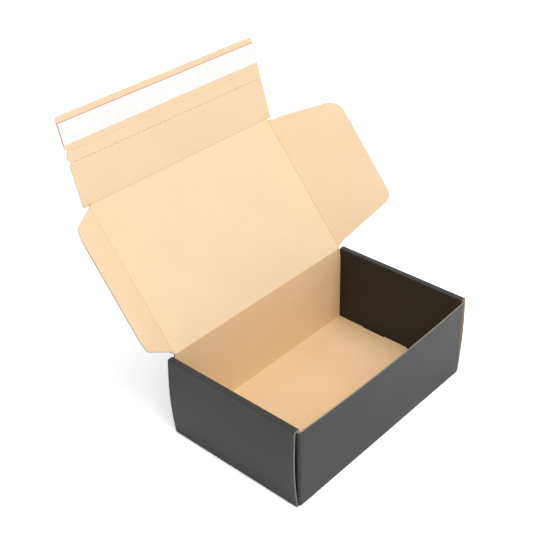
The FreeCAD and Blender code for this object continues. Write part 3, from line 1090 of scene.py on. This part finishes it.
def crease(name, place, span, angle, lead, inner, outer, groove_depth, inside):
    """A bent strip from one panel's edge to the next one's. It spans a stretch of place's own X axis."""
    points, faces, uvs = [], [], []
    ring = 2 * (bend_steps + 1)
    for column in range(strip_columns + 1):
        x = span[0] + (span[1] - span[0]) * column / strip_columns
        for is_outer, offset in ((False, inner), (True, outer)):
            for k in range(bend_steps + 1):
                share = (bend_steps - k if is_outer else k) / bend_steps
                turn = Matrix.Rotation(math.radians(angle) * share, 4, "X")
                before = min(0.0, (2 * share - 1) * lead)
                after = max(0.0, (2 * share - 1) * lead)
                groove = 0 if is_outer else groove_depth * math.sin(math.pi * share)
                spot = Vector((0, before, 0)) + turn @ Vector((0, after, offset - groove))
                points.append(place @ (Vector((x, 0, 0)) + spot))
                uvs.append((x, spot.y))
    for column in range(strip_columns):
        for k in range(ring):
            a, b = column * ring + k, column * ring + (k + 1) % ring
            faces.append((a, b, b + ring, a + ring))
    faces.append(tuple(range(ring))[::-1])
    faces.append(tuple(strip_columns * ring + k for k in range(ring)))
    mesh = bpy.data.meshes.new(name)
    mesh.from_pydata([tuple(p) for p in points], [], faces)
    for material in (inside, black, shaded_core_paper):
        mesh.materials.append(material)
    layer = mesh.uv_layers.new(name="UVMap")
    for face in mesh.polygons:
        k = face.index % ring
        if face.index >= strip_columns * ring or k in (bend_steps, ring - 1):
            face.material_index = 2
        else:
            face.material_index = 0 if k < bend_steps else 1
            face.use_smooth = True
        for corner in face.loop_indices:
            layer.data[corner].uv = uvs[mesh.loops[corner].vertex_index]
    face_outwards(mesh)
    obj = link(bpy.data.objects.new(name, mesh))
    print(name, "faces:", len(mesh.polygons))
    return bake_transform(obj)


# %% The four creases
lid_groove, flap_groove, ear_groove = 0.05 * mm, 0.2 * mm, 0.1 * mm
lid_span = (-lid_half, lid_half)
# The back wall stands straight up, so the first panel of the lid's crease is drawn along +Z.
wall_top = Matrix.Translation(hinge) @ Matrix.Rotation(math.radians(90), 4, "X")
crease(
    "crease_lid", wall_top, lid_span, 90 - lid_open, crease_cut,
    board / 2, -board / 2, lid_groove, kraft,
)
# The flap's and the ears' crease strips get the darker kraft of painted shade.
crease(
    "crease_seal_flap", lid_edge, lid_span, flap_bend, crease_cut,
    board / 2, -board / 2, flap_groove, shaded_kraft,
)
# An ear's crease runs along the lid's Y. The strip's own Y points out of the lid, to the right or the left.
for side, node in ((1, "right_ear"), (-1, "left_ear")):
    turned = Matrix(((0, side, 0, 0), (-side, 0, 0, 0), (0, 0, 1, 0), (0, 0, 0, 1)))
    edge = lid_place @ Matrix.Translation((side * ear_crease, 0, board / 2)) @ turned
    ear_span = sorted((-side * ear_start, -side * ear_end))
    crease(
        "crease_" + node, edge, ear_span, ear_fold, crease_gap,
        0, -board, ear_groove, shaded_kraft,
    )

# %% [markdown]
# ## Adhesive and its liner
# The adhesive is a thin red film, and a strip of coated white paper covers it until the box is sealed.
# Both are flat strips that CAD already gives exactly, so they stay as they are and only get better
# materials: a soft cloud in the colour, and a faint ripple, because neither lies perfectly flat.


# %% Red film and white liner
def film_material(name, low, high, roughness):
    """A thin, smooth sheet with a slight ripple."""
    material, tree, surface = new_material(name)
    place = add_node(tree, "ShaderNodeTexCoord").outputs["Object"]
    cloud = noise(tree, place, 90.0, 3.0)
    tree.links.new(ramp(tree, cloud, (0.3, low), (0.7, high)), surface.inputs["Base Color"])
    smooth, rough = grey(roughness - 0.05), grey(roughness + 0.05)
    tree.links.new(
        ramp(tree, noise(tree, place, 400.0), (0.3, smooth), (0.7, rough)), surface.inputs["Roughness"]
    )
    tree.links.new(bump(tree, noise(tree, place, 60.0, 4.0), 0.15, 0.2 * mm), surface.inputs["Normal"])
    return material


white_liner = film_material("white_liner", (0.8, 0.8, 0.8), (0.84, 0.84, 0.84), 0.45)
red_film = film_material("red_film", (0.42, 0.06, 0.07), (0.5, 0.09, 0.085), 0.35)
for node, material in (("release_liner", white_liner), ("adhesive_tape", red_film)):
    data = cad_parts[node].data
    data.materials.clear()
    data.materials.append(material)
    print(node, "gets", material.name)

# %% [markdown]
# ## Floor and world
# A product photograph is taken on white. More light would bleach the box as well, so the white comes from
# what the camera and mirrors see: the Light Path node tells such rays from those that light the object.
# The floor keeps the box's soft shadow.

# %% Floor
floor_reach = 6
floor_level = -0.4 * mm
floor_color, mirrored_color, seen_color = grey(0.95), grey(1.75), grey(1.95)
floor_mesh = bpy.data.meshes.new("floor")
signs = ((-1, -1), (1, -1), (1, 1), (-1, 1))
floor_corners = [(x * floor_reach, y * floor_reach, floor_level) for x, y in signs]
floor_mesh.from_pydata(floor_corners, [], [(0, 1, 2, 3)])
floor = link(bpy.data.objects.new("floor", floor_mesh))
floor_material, floor_tree, floor_surface = new_material("floor_white")
rays = add_node(floor_tree, "ShaderNodeLightPath")
in_mirrors = mix_colors(floor_tree, "MIX", rays.outputs["Is Glossy Ray"], floor_color, mirrored_color)
seen = mix_colors(floor_tree, "MIX", rays.outputs["Is Camera Ray"], in_mirrors, seen_color)
floor_tree.links.new(seen, floor_surface.inputs["Base Color"])
floor_surface.inputs["Roughness"].default_value = 0.9
floor_surface.inputs["Specular IOR Level"].default_value = 0.1
floor_mesh.materials.append(floor_material)
print("the floor is", 2 * floor_reach, "metres wide")

# %% World
world_light = 0.72
world = bpy.data.worlds.new("studio")
bpy.context.scene.world = world
world.use_nodes = True
sky = world.node_tree
background = sky.nodes["Background"]
background.inputs["Color"].default_value = (1, 1, 1, 1)
sky_rays = add_node(sky, "ShaderNodeLightPath")
seen_white = sky_rays.outputs["Is Camera Ray"]
for kind in ("Is Glossy Ray", "Is Transmission Ray"):
    seen_white = calculate(sky, "MAXIMUM", seen_white, sky_rays.outputs[kind])
strength = calculate(sky, "ADD", calculate(sky, "MULTIPLY", seen_white, 1 - world_light), world_light)
sky.links.new(strength, background.inputs["Strength"])
print("the world lights the box at", world_light, "and looks white")

# %% [markdown]
# ## Lamp and camera
# One wide lamp hangs in front of the box and above it, so that its shadows are soft and the front wall is
# lighter than the end. The camera stands where a fit to the box's corners in the photograph puts it.

# %% Lamp
lamp_place = Vector((0.05, -1.2, 2.25))
lamp_target = Vector((0, 0, 0.1))
lamp_data = bpy.data.lights.new("key", "AREA")
lamp_data.shape = "DISK"
lamp_data.size = 2.0
lamp_data.energy = 34.5
lamp = link(bpy.data.objects.new("key", lamp_data))
lamp.location = lamp_place
lamp.rotation_euler = (lamp_target - lamp_place).to_track_quat("-Z", "Y").to_euler()
print("the lamp is", round((lamp_target - lamp_place).length, 2), "metres away")

# %% Camera
sensor_width = 36
focal_pixels = 1031.18
picture_pixels = 550
eye = Vector((-0.72267, -0.59222, 0.78860))
look = Vector((0.616557, 0.565201, -0.548092)).normalized()
right = Vector((0.664867, -0.746637, -0.022022)).normalized()
up = right.cross(look)
camera_data = bpy.data.cameras.new("camera")
camera_data.lens = sensor_width * focal_pixels / picture_pixels
camera_data.clip_start = 0.05
camera_data.clip_end = 50
camera = link(bpy.data.objects.new("camera", camera_data))
camera.matrix_world = Matrix.Translation(eye) @ Matrix((right, up, -look)).transposed().to_4x4()
bpy.context.scene.camera = camera
bpy.context.scene.view_settings.view_transform = "Standard"
print("the lens is", round(camera_data.lens, 1), "mm long")
